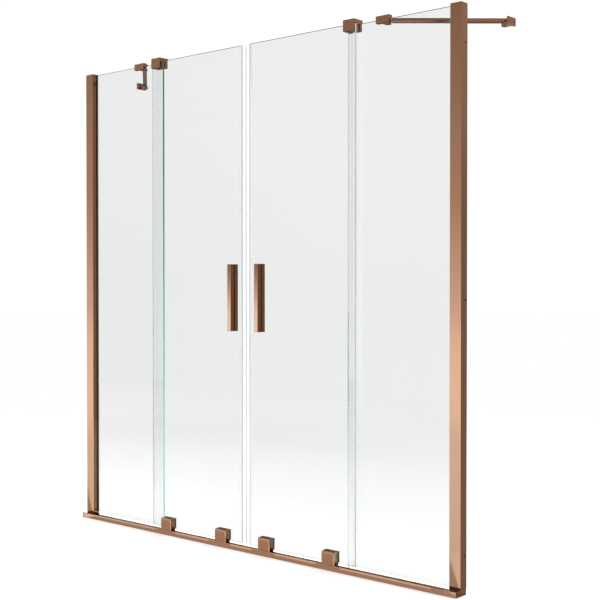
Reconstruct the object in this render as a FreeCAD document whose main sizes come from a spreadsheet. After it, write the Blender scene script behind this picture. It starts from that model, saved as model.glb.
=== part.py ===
import FreeCAD
import Part
import Sketcher
import math
import os
import re

# Sliding bath screen, in millimetres. X runs along the screen, +Y points into the bath, +Z up.
# The origin is the centre of the rail's underside. The right half is modelled and mirrored.

SIZES = {
    "screen_width": 1500,
    "screen_height": 1500,
    "glass_thickness": 6,
    "glass_arris": 0.5,
    "glass_drop": 3,
    "door_width": 396,
    "door_gap": 32,
    "pane_overlap": 36,
    "pane_spacing": 16,
    "rail_depth": 48,
    "rail_height": 16,
    "rail_wall": 1.8,
    "rail_rounding": 2,
    "track_width": 8.4,
    "track_depth": 3,
    "track_setback": 7.4,
    "sill_depth": 8,
    "sill_side": 2.4,
    "sill_base": 3,
    "rail_cap_length": 37,
    "tongue_length": 12,
    "cover_wall": 1.6,
    "fit_gap": 0.2,
    "running_gap": 0.3,
    "bore_gap": 0.05,
    "post_width": 34.5,
    "post_depth": 28,
    "post_wall": 1.8,
    "post_rounding": 2,
    "post_cap_thickness": 3,
    "cap_rounding": 1.2,
    "cap_plug": 10,
    "glass_bite": 15,
    "glass_setback": 18,
    "gasket_wall": 1.8,
    "channel_reach": 13,
    "wall_hole": 6,
    "wall_hole_end": 100,
    "wall_hole_setback": 20,
    "lock_screw": 3,
    "lock_screw_head": 5,
    "lock_socket": 2,
    "lock_socket_depth": 1,
    "lock_screw_drop": 27,
    "guide_length": 39.5,
    "guide_front": 3.5,
    "guide_rear": 10.7,
    "guide_drop": 19,
    "guide_rise": 12.5,
    "guide_rounding": 1,
    "liner_wall": 1.2,
    "liner_head": 1.6,
    "pad_thickness": 0.8,
    "grub_screw": 5,
    "grub_socket": 2.5,
    "grub_socket_depth": 2.5,
    "grub_spacing": 20,
    "guide_grub_drop": 9,
    "clamp_inset": 117,
    "clamp_length": 45,
    "clamp_front": 2,
    "clamp_rear": 5,
    "clamp_drop": 9.5,
    "clamp_rise": 10.5,
    "clamp_rounding": 1.6,
    "clamp_grub_drop": 5,
    "clamp_grub_spacing": 33,
    "fork_radius": 9.5,
    "fork_reach": 13.5,
    "fork_ear": 5.8,
    "tongue_relief": 2.5,
    "bar_diameter": 14,
    "bar_seat_flat": 1.5,
    "bar_pin_depth": 8,
    "pin_diameter": 5,
    "pin_head": 9,
    "pin_head_height": 1.4,
    "bracket_standoff": 22,
    "bracket_reach": 228.6,
    "bracket_plate": 5,
    "bracket_length": 40,
    "bracket_height": 22,
    "bracket_drop": 4,
    "bracket_hole": 5,
    "bracket_hole_spacing": 29,
    "door_lift": 4,
    "trolley_width": 47,
    "trolley_height": 38.1,
    "trolley_fall": 2.4,
    "trolley_lift": 0.4,
    "trolley_rounding": 3,
    "trolley_inset_inner": 73,
    "trolley_inset_outer": 81,
    "trolley_pocket": 23.6,
    "trolley_pocket_headroom": 2.5,
    "trolley_pad": 0.5,
    "plate_thickness": 2.2,
    "plate_margin": 1.5,
    "trolley_screw": 5,
    "trolley_screw_head": 9,
    "trolley_socket": 3,
    "trolley_screw_bite": 9,
    "trolley_screw_spacing": 28,
    "trolley_screw_drop": 10.5,
    "trolley_bush_wall": 2.2,
    "roller_diameter": 20,
    "roller_width": 6,
    "roller_bevel": 0.8,
    "roller_hub": 9,
    "axle_diameter": 5,
    "axle_bite": 1.8,
    "handle_inset": 39,
    "handle_width": 15,
    "handle_outside_depth": 14.3,
    "handle_inside_depth": 14,
    "handle_height": 200,
    "handle_middle": 750,
    "handle_rounding": 1,
    "handle_hole_spacing": 145,
    "handle_screw": 6,
    "handle_screw_bite": 7,
    "handle_screw_head": 10,
    "handle_screw_head_height": 5.5,
    "handle_screw_sunk": 0.7,
    "handle_socket": 5,
    "handle_socket_depth": 2.8,
    "handle_bush_wall": 2.6,
    "seal_wall": 1.2,
    "seal_grip": 12,
    "seal_meet_gap": 0.3,
    "magnet_width": 5,
    "edge_seal_wall": 0.9,
    "edge_seal_grip": 10,
    "edge_seal_end": 21,
}

# Places worked out from the sizes: right half, in the screen's own frame.
PLACES = {
    "half_width": "screen_width / 2",
    "rail_front": "-rail_depth / 2",
    "rail_back": "rail_depth / 2",
    "rail_end": "half_width - rail_cap_length",
    "track_line": "rail_front + track_setback",
    "track_floor": "rail_height - track_depth",
    "track_low": "track_line - track_width / 2",
    "track_high": "track_line + track_width / 2",
    "post_front": "rail_back - post_depth",
    "post_inner": "half_width - post_width",
    "post_top": "screen_height - post_cap_thickness",
    "fixed_front": "post_front + glass_setback - glass_thickness / 2",
    "fixed_back": "fixed_front + glass_thickness",
    "slider_front": "fixed_front - pane_spacing",
    "slider_back": "slider_front + glass_thickness",
    "glass_top": "screen_height - glass_drop",
    "slider_inner": "door_gap / 2",
    "slider_outer": "slider_inner + door_width",
    "slider_foot": "rail_height + door_lift",
    "fixed_inner": "slider_outer - pane_overlap",
    "fixed_outer": "post_inner + glass_bite",
    "sill_low": "fixed_front - sill_side",
    "sill_high": "fixed_back + sill_side",
    "sill_floor": "rail_height - sill_depth",
    "fixed_foot": "sill_floor + sill_base",
    "sill_end": "fixed_outer + gasket_wall + fit_gap",
    "web_low": "fixed_outer + gasket_wall + fit_gap",
    "web_high": "web_low + post_wall",
    "channel_front": "post_front + post_wall + fit_gap",
    "channel_back": "rail_back - post_wall - fit_gap",
    "channel_inner": "half_width - channel_reach",
    "wall_hole_line": "post_front + wall_hole_setback",
    "wall_hole_low": "wall_hole_end",
    "wall_hole_high": "screen_height - wall_hole_end",
    "lock_screw_line": "(post_front + post_rounding + fixed_front - gasket_wall) / 2",
    "lock_screw_height": "screen_height - lock_screw_drop",
    "guide_slot_low": "slider_front - running_gap - liner_wall",
    "guide_slot_high": "slider_back + running_gap + liner_wall",
    "guide_low": "guide_slot_low - guide_front",
    "guide_pad_low": "fixed_front - pad_thickness",
    "guide_pad_high": "fixed_back + pad_thickness",
    "guide_high": "guide_pad_high + guide_rear",
    "guide_inner": "slider_outer - guide_length",
    "guide_foot": "glass_top - guide_drop",
    "guide_top": "glass_top + guide_rise",
    "guide_slot_top": "glass_top + liner_head + liner_wall",
    "guide_grub_height": "glass_top - guide_grub_drop",
    "clamp_middle": "fixed_inner + clamp_inset",
    "clamp_inner": "clamp_middle - clamp_length / 2",
    "clamp_outer": "clamp_middle + clamp_length / 2",
    "clamp_low": "guide_pad_low - clamp_front",
    "clamp_high": "guide_pad_high + clamp_rear",
    "clamp_foot": "glass_top - clamp_drop",
    "clamp_top": "glass_top + clamp_rise",
    "clamp_grub_height": "glass_top - clamp_grub_drop",
    "ear_floor": "clamp_foot + fork_ear",
    "ear_roof": "clamp_top - fork_ear",
    "pivot_y": "clamp_high + fork_reach",
    "wall_pivot_x": "half_width - bracket_standoff",
    "wall_pivot_y": "fixed_front + glass_thickness / 2 + bracket_reach",
    "bar_run_x": "wall_pivot_x - clamp_middle",
    "bar_run_y": "wall_pivot_y - pivot_y",
    "bar_length": "sqrt((bar_run_x) ^ 2 + (bar_run_y) ^ 2)",
    "bar_height": "(clamp_foot + clamp_top) / 2",
    "tongue_thickness": "clamp_top - clamp_foot - 2 * fork_ear - 2 * fit_gap",
    "bar_seat": "bar_height - bar_diameter / 2 + bar_seat_flat",
    "bracket_foot": "bar_height - bracket_drop - bracket_height / 2",
    "bracket_top": "bracket_foot + bracket_height",
    "bracket_ear_top": "bar_seat - fit_gap",
    "bracket_pin_tip": "bar_seat + bar_pin_depth - fit_gap",
    "trolley_foot": "rail_height + trolley_lift",
    "trolley_top": "trolley_foot + trolley_height",
    "trolley_back": "slider_front - trolley_pad",
    "plate_front": "slider_back + trolley_pad",
    "plate_back": "plate_front + plate_thickness",
    "plate_foot": "slider_foot + plate_margin",
    "plate_top": "trolley_top - plate_margin",
    "trolley_screw_height": "trolley_top - trolley_screw_drop",
    "trolley_bush": "trolley_screw / 2 + bore_gap + trolley_bush_wall",
    "roller_height": "track_floor + running_gap + roller_diameter / 2",
    "hub_width": "track_width - 2 * running_gap",
    "handle_line": "slider_inner + handle_inset",
    "handle_foot": "handle_middle - handle_height / 2",
    "handle_top": "handle_middle + handle_height / 2",
    "handle_hole_low": "handle_middle - handle_hole_spacing / 2",
    "handle_hole_high": "handle_middle + handle_hole_spacing / 2",
    "handle_outside_front": "slider_front - handle_outside_depth",
    "handle_inside_back": "slider_back + handle_inside_depth",
    "handle_bush": "handle_screw / 2 + bore_gap + handle_bush_wall",
    "handle_head_seat": "handle_inside_back - handle_screw_sunk - handle_screw_head_height",
    "seal_front": "slider_front - seal_wall",
    "seal_back": "slider_back + seal_wall",
    "magnet_inner": "seal_meet_gap + seal_wall",
    "magnet_outer": "magnet_inner + magnet_width",
    "edge_seal_top": "glass_top - edge_seal_end",
}

doc = FreeCAD.newDocument("SlidingBathScreen")
sheet = doc.addObject("Spreadsheet::Sheet", "Sizes")
for row, (alias, size) in enumerate(SIZES.items(), start=1):
    sheet.set(f"A{row}", alias)
    sheet.set(f"B{row}", str(size))
    sheet.setAlias(f"B{row}", alias)
doc.recompute()

nodes = []
WORD = re.compile(r"[a-z][a-z_]+")


def formula(text):
    """Writes a text of sizes and places as an expression on the sheet's cells."""
    def cell(found):
        word = found.group(0)
        if word in PLACES:
            return f"({formula(PLACES[word])})"
        if word in SIZES:
            return f"Sizes.{word}"
        return word
    return WORD.sub(cell, text)


def bind(thing, prop, text):
    thing.setExpression(prop, formula(text))


def keep(thing):
    """Marks an object as a piece of the screen, exported under its label."""
    nodes.append(thing)
    return thing


# Part solids

AXIS_TURN = {
    "x": FreeCAD.Rotation(FreeCAD.Vector(0, 1, 0), 90),
    "y": FreeCAD.Rotation(FreeCAD.Vector(1, 0, 0), -90),
    "z": FreeCAD.Rotation(),
}


def settle(solid, corner, turn=FreeCAD.Rotation()):
    solid.Placement = FreeCAD.Placement(FreeCAD.Vector(), turn)
    for axis, place in zip("xyz", corner):
        bind(solid, f"Placement.Base.{axis}", place)
    return solid


def box(label, x, y, z):
    """A block between three pairs of places."""
    solid = doc.addObject("Part::Box", label)
    for prop, (low, high) in zip(("Length", "Width", "Height"), (x, y, z)):
        bind(solid, prop, f"({high}) - ({low})")
    return settle(solid, (x[0], y[0], z[0]))


def rod(label, axis, start, end, radius):
    """A cylinder along an axis from the start point to the place end on that axis."""
    solid = doc.addObject("Part::Cylinder", label)
    bind(solid, "Radius", radius)
    bind(solid, "Height", f"({end}) - ({start['xyz'.index(axis)]})")
    return settle(solid, start, AXIS_TURN[axis])


def cone(label, axis, start, end, radius_start, radius_end):
    solid = doc.addObject("Part::Cone", label)
    bind(solid, "Radius1", radius_start)
    bind(solid, "Radius2", radius_end)
    bind(solid, "Height", f"({end}) - ({start['xyz'.index(axis)]})")
    return settle(solid, start, AXIS_TURN[axis])


def hex_socket(label, axis, start, end, across_flats):
    solid = doc.addObject("Part::Prism", label)
    solid.Polygon = 6
    bind(solid, "Circumradius", f"({across_flats}) / sqrt(3)")
    bind(solid, "Height", f"({end}) - ({start['xyz'.index(axis)]})")
    return settle(solid, start, AXIS_TURN[axis])


def fuse(label, shapes):
    joined = doc.addObject("Part::MultiFuse", label)
    joined.Shapes = shapes
    joined.Refine = True
    return joined


def group(label, shapes):
    """Separate solids that share one node."""
    gathered = doc.addObject("Part::Compound", label)
    gathered.Links = shapes
    return gathered


def cut(label, base, tools):
    trimmed = doc.addObject("Part::Cut", label)
    trimmed.Base = base
    trimmed.Tool = tools[0] if len(tools) == 1 else group(f"{label}_tools", tools)
    return trimmed


def mirrored(label, source):
    """The same piece on the other half of the screen."""
    twin = doc.addObject("Part::Mirroring", label)
    twin.Source = source
    twin.Base = FreeCAD.Vector()
    twin.Normal = FreeCAD.Vector(1, 0, 0)
    return twin


def keep_pair(name, right):
    """Keeps a right-hand piece and its left-hand twin under names of their own."""
    right.Label = f"{name}_right"
    keep(right)
    keep(mirrored(f"{name}_left", right))


def keep_both(name, right):
    """Keeps the same pieces of both halves in one node."""
    keep(group(name, right + [mirrored(f"{part.Name}_twin", part) for part in right]))


# Sketched bodies

def new_body(label):
    body = doc.addObject("PartDesign::Body", label)
    body.Label = label
    return body


def new_sketch(body, name, role, offset):
    sketch = body.newObject("Sketcher::SketchObject", f"{body.Name}_{name}")
    plane = next(part for part in body.Origin.OriginFeatures if part.Role == role)
    sketch.AttachmentSupport = (plane, [""])
    sketch.MapMode = "FlatFace"
    bind(sketch, "AttachmentOffset.Base.z", offset)
    return sketch


def hold_point(sketch, line, point, place):
    """Ties a point of the sketch to a pair of places, measured from the sketch's origin."""
    for kind, text in zip(("DistanceX", "DistanceY"), place):
        number = sketch.addConstraint(Sketcher.Constraint(kind, -1, 1, line, point, 1.0))
        bind(sketch, f"Constraints[{number}]", text)


def draw_loop(sketch, places):
    """A closed outline of straight lines through the places."""
    count = len(places)
    lines = []
    for step in range(count):
        angle = 2 * math.pi * step / count
        further = 2 * math.pi * (step + 1) / count
        start = FreeCAD.Vector(math.cos(angle), math.sin(angle), 0)
        end = FreeCAD.Vector(math.cos(further), math.sin(further), 0)
        lines.append(sketch.addGeometry(Part.LineSegment(start, end)))
    for step in range(count):
        sketch.addConstraint(Sketcher.Constraint("Coincident", lines[step], 2, lines[(step + 1) % count], 1))
    for line, place in zip(lines, places):
        hold_point(sketch, line, 1, place)


def draw_box(sketch, u, v):
    draw_loop(sketch, [(u[0], v[0]), (u[1], v[0]), (u[1], v[1]), (u[0], v[1])])


def draw_circle(sketch, centre, radius):
    ring = sketch.addGeometry(Part.Circle(FreeCAD.Vector(), FreeCAD.Vector(0, 0, 1), 1.0))
    hold_point(sketch, ring, 3, centre)
    number = sketch.addConstraint(Sketcher.Constraint("Radius", ring, 1.0))
    bind(sketch, f"Constraints[{number}]", radius)


def pad(body, sketch, length):
    feature = body.newObject("PartDesign::Pad", f"{sketch.Name}_pad")
    feature.Profile = sketch
    bind(feature, "Length", length)
    doc.recompute()
    return feature


def pocket(body, sketch, depth, reverse):
    """Cuts the sketch into the body and makes sure that it took something away."""
    before = body.Shape.Volume
    feature = body.newObject("PartDesign::Pocket", f"{sketch.Name}_pocket")
    feature.Profile = sketch
    feature.Reversed = reverse
    bind(feature, "Length", depth)
    doc.recompute()
    if body.Shape.Volume >= before:
        raise RuntimeError(f"{sketch.Name} cuts nothing")
    return feature


def block_body(label, x, y, z):
    """A sketched block between three pairs of places."""
    body = new_body(label)
    sketch = new_sketch(body, "outline", "XY_Plane", z[0])
    draw_box(sketch, x, y)
    pad(body, sketch, f"({z[1]}) - ({z[0]})")
    return body


def profile_body(label, role, loops, start, length):
    """A section of straight-sided loops drawn on one of the main planes and pulled along its normal."""
    body = new_body(label)
    sketch = new_sketch(body, "section", role, start)
    for loop in loops:
        draw_loop(sketch, loop)
    pad(body, sketch, length)
    return body


def dress(body, kind, prop, size, wanted):
    """Rounds or bevels the edges of the body that the test picks."""
    doc.recompute()
    base = body.Tip
    edges = [f"Edge{n}" for n, edge in enumerate(base.Shape.Edges, start=1) if wanted(edge)]
    feature = body.newObject(f"PartDesign::{kind}", f"{body.Name}_{kind.lower()}")
    feature.Base = (base, edges)
    bind(feature, prop, size)
    doc.recompute()


def runs_along(edge, axis):
    box_of = edge.BoundBox
    lengths = {"x": box_of.XLength, "y": box_of.YLength, "z": box_of.ZLength}
    others = [length for name, length in lengths.items() if name != axis]
    return lengths[axis] > 0 and max(others) < 1e-6


def on_outside(body, edge, sides):
    """True where the edge lies on one of the named sides of the body's box."""
    whole = body.Shape.BoundBox
    part = edge.BoundBox
    faces = {
        "front": (part.YMin, part.YMax, whole.YMin),
        "back": (part.YMin, part.YMax, whole.YMax),
        "low": (part.XMin, part.XMax, whole.XMin),
        "high": (part.XMin, part.XMax, whole.XMax),
        "foot": (part.ZMin, part.ZMax, whole.ZMin),
        "top": (part.ZMin, part.ZMax, whole.ZMax),
    }
    return any(max(abs(a - c), abs(b - c)) < 1e-6 for a, b, c in (faces[side] for side in sides))


# Bottom rail: a hollow section with the roller track in front and the sill channel behind it

def rail_outline():
    return [
        ("rail_front", "0"),
        ("rail_back", "0"),
        ("rail_back", "rail_height"),
        ("sill_high", "rail_height"),
        ("sill_high", "sill_floor"),
        ("sill_low", "sill_floor"),
        ("sill_low", "rail_height"),
        ("track_high", "rail_height"),
        ("track_high", "track_floor"),
        ("track_low", "track_floor"),
        ("track_low", "rail_height"),
        ("rail_front", "rail_height"),
    ]


def chamber(low, high, top, gap):
    """A hollow of the rail's section, or with a gap the tongue that fits in it."""
    return [
        (f"{low} + {gap}", f"rail_wall + {gap}"),
        (f"{high} - {gap}", f"rail_wall + {gap}"),
        (f"{high} - {gap}", f"{top} - {gap}"),
        (f"{low} + {gap}", f"{top} - {gap}"),
    ]


def rail_chambers(gap):
    front = chamber("rail_front + rail_wall", "track_high", "track_floor - rail_wall", gap)
    middle = chamber("track_high + rail_wall", "sill_low - rail_wall", "rail_height - rail_wall", gap)
    return [front, middle]


def upper_outer_edges(body):
    def wanted(edge):
        outer = on_outside(body, edge, ["front", "back"])
        return outer and runs_along(edge, "x") and on_outside(body, edge, ["top"])
    return wanted


def make_rail():
    rail = profile_body("bottom_rail", "YZ_Plane", [rail_outline()] + rail_chambers("0"),
                        "-rail_end", "2 * rail_end")
    dress(rail, "Fillet", "Radius", "rail_rounding", upper_outer_edges(rail))
    keep(rail)


def make_rail_end_cap():
    cap = profile_body("rail_end_cap", "YZ_Plane", [rail_outline()], "rail_end", "sill_end - rail_end")
    end = new_sketch(cap, "end", "YZ_Plane", "sill_end")
    draw_box(end, ("rail_front", "rail_back"), ("0", "rail_height"))
    pad(cap, end, "half_width - sill_end")
    dress(cap, "Fillet", "Radius", "rail_rounding", upper_outer_edges(cap))
    dress(cap, "Fillet", "Radius", "rail_rounding",
          lambda edge: runs_along(edge, "z") and on_outside(cap, edge, ["front"])
          and on_outside(cap, edge, ["high"]))
    for number, loop in enumerate(rail_chambers("fit_gap")):
        tongue = new_sketch(cap, f"tongue{number}", "YZ_Plane", "rail_end - tongue_length")
        draw_loop(tongue, loop)
        pad(cap, tongue, "tongue_length")
    keep_pair("rail_end_cap", cap)


def make_sill_pieces():
    section = [
        ("sill_low + fit_gap", "sill_floor"),
        ("sill_high - fit_gap", "sill_floor"),
        ("sill_high - fit_gap", "rail_height - fit_gap"),
        ("fixed_back", "rail_height - fit_gap"),
        ("fixed_back", "fixed_foot"),
        ("fixed_front", "fixed_foot"),
        ("fixed_front", "rail_height - fit_gap"),
        ("sill_low + fit_gap", "rail_height - fit_gap"),
    ]
    gasket = profile_body("rail_gasket", "YZ_Plane", [section],
                          "fixed_inner", "sill_end - fit_gap - fixed_inner")
    keep_both("rail_gaskets", [gasket])
    strip = [
        ("sill_low + fit_gap", "sill_floor"),
        ("sill_low + fit_gap + cover_wall", "sill_floor"),
        ("sill_low + fit_gap + cover_wall", "rail_height - cover_wall"),
        ("sill_high - fit_gap - cover_wall", "rail_height - cover_wall"),
        ("sill_high - fit_gap - cover_wall", "sill_floor"),
        ("sill_high - fit_gap", "sill_floor"),
        ("sill_high - fit_gap", "rail_height"),
        ("sill_low + fit_gap", "rail_height"),
    ]
    keep(profile_body("rail_cover_strip", "YZ_Plane", [strip],
                      "-(fixed_inner - fit_gap)", "2 * (fixed_inner - fit_gap)"))


# Wall posts

def make_wall_channel():
    section = [
        ("half_width", "channel_front"),
        ("half_width", "channel_back"),
        ("channel_inner", "channel_back"),
        ("channel_inner", "channel_back - post_wall"),
        ("half_width - post_wall", "channel_back - post_wall"),
        ("half_width - post_wall", "channel_front + post_wall"),
        ("channel_inner", "channel_front + post_wall"),
        ("channel_inner", "channel_front"),
    ]
    channel = profile_body("wall_channel", "XY_Plane", [section], "rail_height", "post_top - rail_height")
    holes = new_sketch(channel, "holes", "YZ_Plane", "half_width")
    for height in ("wall_hole_low", "(wall_hole_low + wall_hole_high) / 2", "wall_hole_high"):
        draw_circle(holes, ("wall_hole_line", height), "wall_hole / 2")
    pocket(channel, holes, "post_wall", False)
    keep_pair("wall_channel", channel)


def make_glazing_profile():
    slot_low = "fixed_front - gasket_wall"
    slot_high = "fixed_back + gasket_wall"
    section = [
        ("half_width", "post_front"),
        ("half_width", "post_front + post_wall"),
        ("web_high", "post_front + post_wall"),
        ("web_high", "rail_back - post_wall"),
        ("half_width", "rail_back - post_wall"),
        ("half_width", "rail_back"),
        ("post_inner", "rail_back"),
        ("post_inner", slot_high),
        ("post_inner + post_wall", slot_high),
        ("post_inner + post_wall", "rail_back - post_wall"),
        ("web_low", "rail_back - post_wall"),
        ("web_low", "post_front + post_wall"),
        ("post_inner + post_wall", "post_front + post_wall"),
        ("post_inner + post_wall", slot_low),
        ("post_inner", slot_low),
        ("post_inner", "post_front"),
    ]
    profile = profile_body("glazing_profile", "XY_Plane", [section], "rail_height", "post_top - rail_height")
    dress(profile, "Fillet", "Radius", "post_rounding",
          lambda edge: runs_along(edge, "z") and on_outside(profile, edge, ["low"])
          and on_outside(profile, edge, ["front", "back"]))
    hole_at = ("post_inner", "lock_screw_line", "lock_screw_height")
    sink = cone("lock_sink", "x", hole_at, "post_inner + post_wall",
                "lock_screw_head / 2 + bore_gap", "lock_screw / 2 + bore_gap")
    bore = rod("lock_bore", "x", hole_at, "web_high", "lock_screw / 2 + bore_gap")
    keep_pair("glazing_profile", cut("glazing_profile_bored", profile, [fuse("lock_hole", [sink, bore])]))
    head = cone("lock_head", "x", hole_at, "post_inner + post_wall", "lock_screw_head / 2", "lock_screw / 2")
    shank = rod("lock_shank", "x", hole_at, "web_high", "lock_screw / 2")
    drive = hex_socket("lock_drive", "x", hole_at, "post_inner + lock_socket_depth", "lock_socket")
    keep_both("profile_screws", [cut("lock_screw_right", fuse("lock_solid", [head, shank]), [drive])])


def make_post_cap():
    cap = block_body("post_cap", ("post_inner", "half_width"), ("post_front", "rail_back"),
                     ("post_top", "screen_height"))
    dress(cap, "Fillet", "Radius", "post_rounding",
          lambda edge: runs_along(edge, "z") and on_outside(cap, edge, ["low"])
          and on_outside(cap, edge, ["front", "back"]))
    dress(cap, "Fillet", "Radius", "cap_rounding", lambda edge: on_outside(cap, edge, ["top"]))
    plug = new_sketch(cap, "plug", "XY_Plane", "post_top - cap_plug")
    draw_box(plug, ("web_high + fit_gap", "half_width - post_wall - fit_gap"),
             ("channel_front + post_wall + fit_gap", "channel_back - post_wall - fit_gap"))
    pad(cap, plug, "cap_plug")
    keep_both("post_caps", [cap])


def make_glazing_gasket():
    section = [
        ("post_inner", "fixed_front - gasket_wall"),
        ("fixed_outer + gasket_wall", "fixed_front - gasket_wall"),
        ("fixed_outer + gasket_wall", "fixed_back + gasket_wall"),
        ("post_inner", "fixed_back + gasket_wall"),
        ("post_inner", "fixed_back"),
        ("fixed_outer", "fixed_back"),
        ("fixed_outer", "fixed_front"),
        ("post_inner", "fixed_front"),
    ]
    gasket = profile_body("glazing_gasket", "XY_Plane", [section], "rail_height", "glass_top - rail_height")
    keep_both("glazing_gaskets", [gasket])


# Glass

def make_pane(label, x, z, back, holes):
    """A pane with ground edges, drawn on its back face and pulled to the front."""
    pane = new_body(label)
    sketch = new_sketch(pane, "outline", "XZ_Plane", f"-({back})")
    draw_box(sketch, x, z)
    pad(pane, sketch, "glass_thickness")
    dress(pane, "Chamfer", "Size", "glass_arris", lambda edge: not runs_along(edge, "y"))
    if holes:
        drilled = new_sketch(pane, "holes", "XZ_Plane", f"-({back})")
        for centre, radius in holes:
            draw_circle(drilled, centre, radius)
        pocket(pane, drilled, "glass_thickness", True)
    keep_pair(label, pane)


# Top guides and stays

def make_pads_and_grubs(name, inner, outer, foot, middle, spacing, height, back):
    """Rubber pads on both faces of the fixed pane and two socket screws that press the rear one."""
    span = (f"({inner}) + fit_gap", f"({outer}) - fit_gap")
    tall = (foot, "glass_top - glass_arris")
    pads = [
        box(f"{name}_pad_front", span, ("guide_pad_low", "fixed_front"), tall),
        box(f"{name}_pad_rear", span, ("fixed_back", "guide_pad_high"), tall),
    ]
    grubs = []
    bores = []
    for number, sign in enumerate(("-", "+")):
        centre = (f"({middle}) {sign} ({spacing}) / 2", "guide_pad_high", height)
        blank = rod(f"{name}_grub_blank{number}", "y", centre, back, "grub_screw / 2")
        deep = (centre[0], f"({back}) - grub_socket_depth", centre[2])
        drive = hex_socket(f"{name}_grub_drive{number}", "y", deep, back, "grub_socket")
        grubs.append(cut(f"{name}_grub{number}", blank, [drive]))
        bores.append(rod(f"{name}_grub_bore{number}", "y", centre, back, "grub_screw / 2 + bore_gap"))
    return pads, grubs, bores


def make_top_guide():
    section = [
        ("guide_low", "guide_foot"),
        ("guide_slot_low", "guide_foot"),
        ("guide_slot_low", "guide_slot_top"),
        ("guide_slot_high", "guide_slot_top"),
        ("guide_slot_high", "guide_foot"),
        ("guide_pad_low", "guide_foot"),
        ("guide_pad_low", "glass_top"),
        ("guide_pad_high", "glass_top"),
        ("guide_pad_high", "guide_foot"),
        ("guide_high", "guide_foot"),
        ("guide_high", "guide_top"),
        ("guide_low", "guide_top"),
    ]
    guide = profile_body("top_guide", "YZ_Plane", [section], "guide_inner", "guide_length")
    dress(guide, "Fillet", "Radius", "guide_rounding",
          lambda edge: on_outside(guide, edge, ["top"])
          or (runs_along(edge, "z") and on_outside(guide, edge, ["front", "back"])))
    pads, grubs, bores = make_pads_and_grubs(
        "guide", "fixed_inner", "slider_outer", "guide_foot", "slider_outer - guide_length / 2",
        "grub_spacing", "guide_grub_height", "guide_high")
    keep_pair("top_guide", cut("top_guide_bored", guide, bores))
    liner = [
        ("guide_slot_low", "guide_foot"),
        ("guide_slot_low + liner_wall", "guide_foot"),
        ("guide_slot_low + liner_wall", "guide_slot_top - liner_wall"),
        ("guide_slot_high - liner_wall", "guide_slot_top - liner_wall"),
        ("guide_slot_high - liner_wall", "guide_foot"),
        ("guide_slot_high", "guide_foot"),
        ("guide_slot_high", "guide_slot_top"),
        ("guide_slot_low", "guide_slot_top"),
    ]
    lining = profile_body("guide_liner", "YZ_Plane", [liner], "guide_inner", "guide_length")
    keep_both("guide_liners", [lining])
    return pads, grubs


PIN_BORE = "pin_diameter / 2 + bore_gap"


def round_ear(name, pivot, root, tall):
    """A flat ear with a round nose about the pivot, which reaches to the root place along X or Y."""
    nose = rod(f"{name}_nose", "z", (pivot[0], pivot[1], tall[0]), tall[1], "fork_radius")
    wide = [(f"{place} - fork_radius", f"{place} + fork_radius") for place in pivot]
    if root[0] == "y":
        arm = box(f"{name}_arm", wide[0], (root[1], pivot[1]), tall)
    else:
        arm = box(f"{name}_arm", (pivot[0], root[1]), wide[1], tall)
    return [nose, arm]


def make_stay_clamp():
    section = [
        ("clamp_low", "clamp_foot"),
        ("guide_pad_low", "clamp_foot"),
        ("guide_pad_low", "glass_top"),
        ("guide_pad_high", "glass_top"),
        ("guide_pad_high", "clamp_foot"),
        ("clamp_high", "clamp_foot"),
        ("clamp_high", "clamp_top"),
        ("clamp_low", "clamp_top"),
    ]
    clamp = profile_body("stay_clamp", "YZ_Plane", [section], "clamp_inner", "clamp_length")
    dress(clamp, "Fillet", "Radius", "clamp_rounding",
          lambda edge: on_outside(clamp, edge, ["top"])
          or (runs_along(edge, "z") and on_outside(clamp, edge, ["front"])))
    pivot = ("clamp_middle", "pivot_y")
    ears = []
    for level, tall in enumerate((("clamp_foot", "ear_floor"), ("ear_roof", "clamp_top"))):
        ears += round_ear(f"clamp_ear{level}", pivot, ("y", "clamp_high"), tall)
    pin_bore = rod("clamp_pin_bore", "z", (*pivot, "clamp_foot"), "clamp_top", PIN_BORE)
    pads, grubs, bores = make_pads_and_grubs(
        "clamp", "clamp_inner", "clamp_outer", "clamp_foot", "clamp_middle",
        "clamp_grub_spacing", "clamp_grub_height", "clamp_high")
    forked = fuse("stay_clamp_forked", [clamp] + ears)
    keep_pair("stay_clamp", cut("stay_clamp_bored", forked, bores + [pin_bore]))
    return pads, grubs


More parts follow.
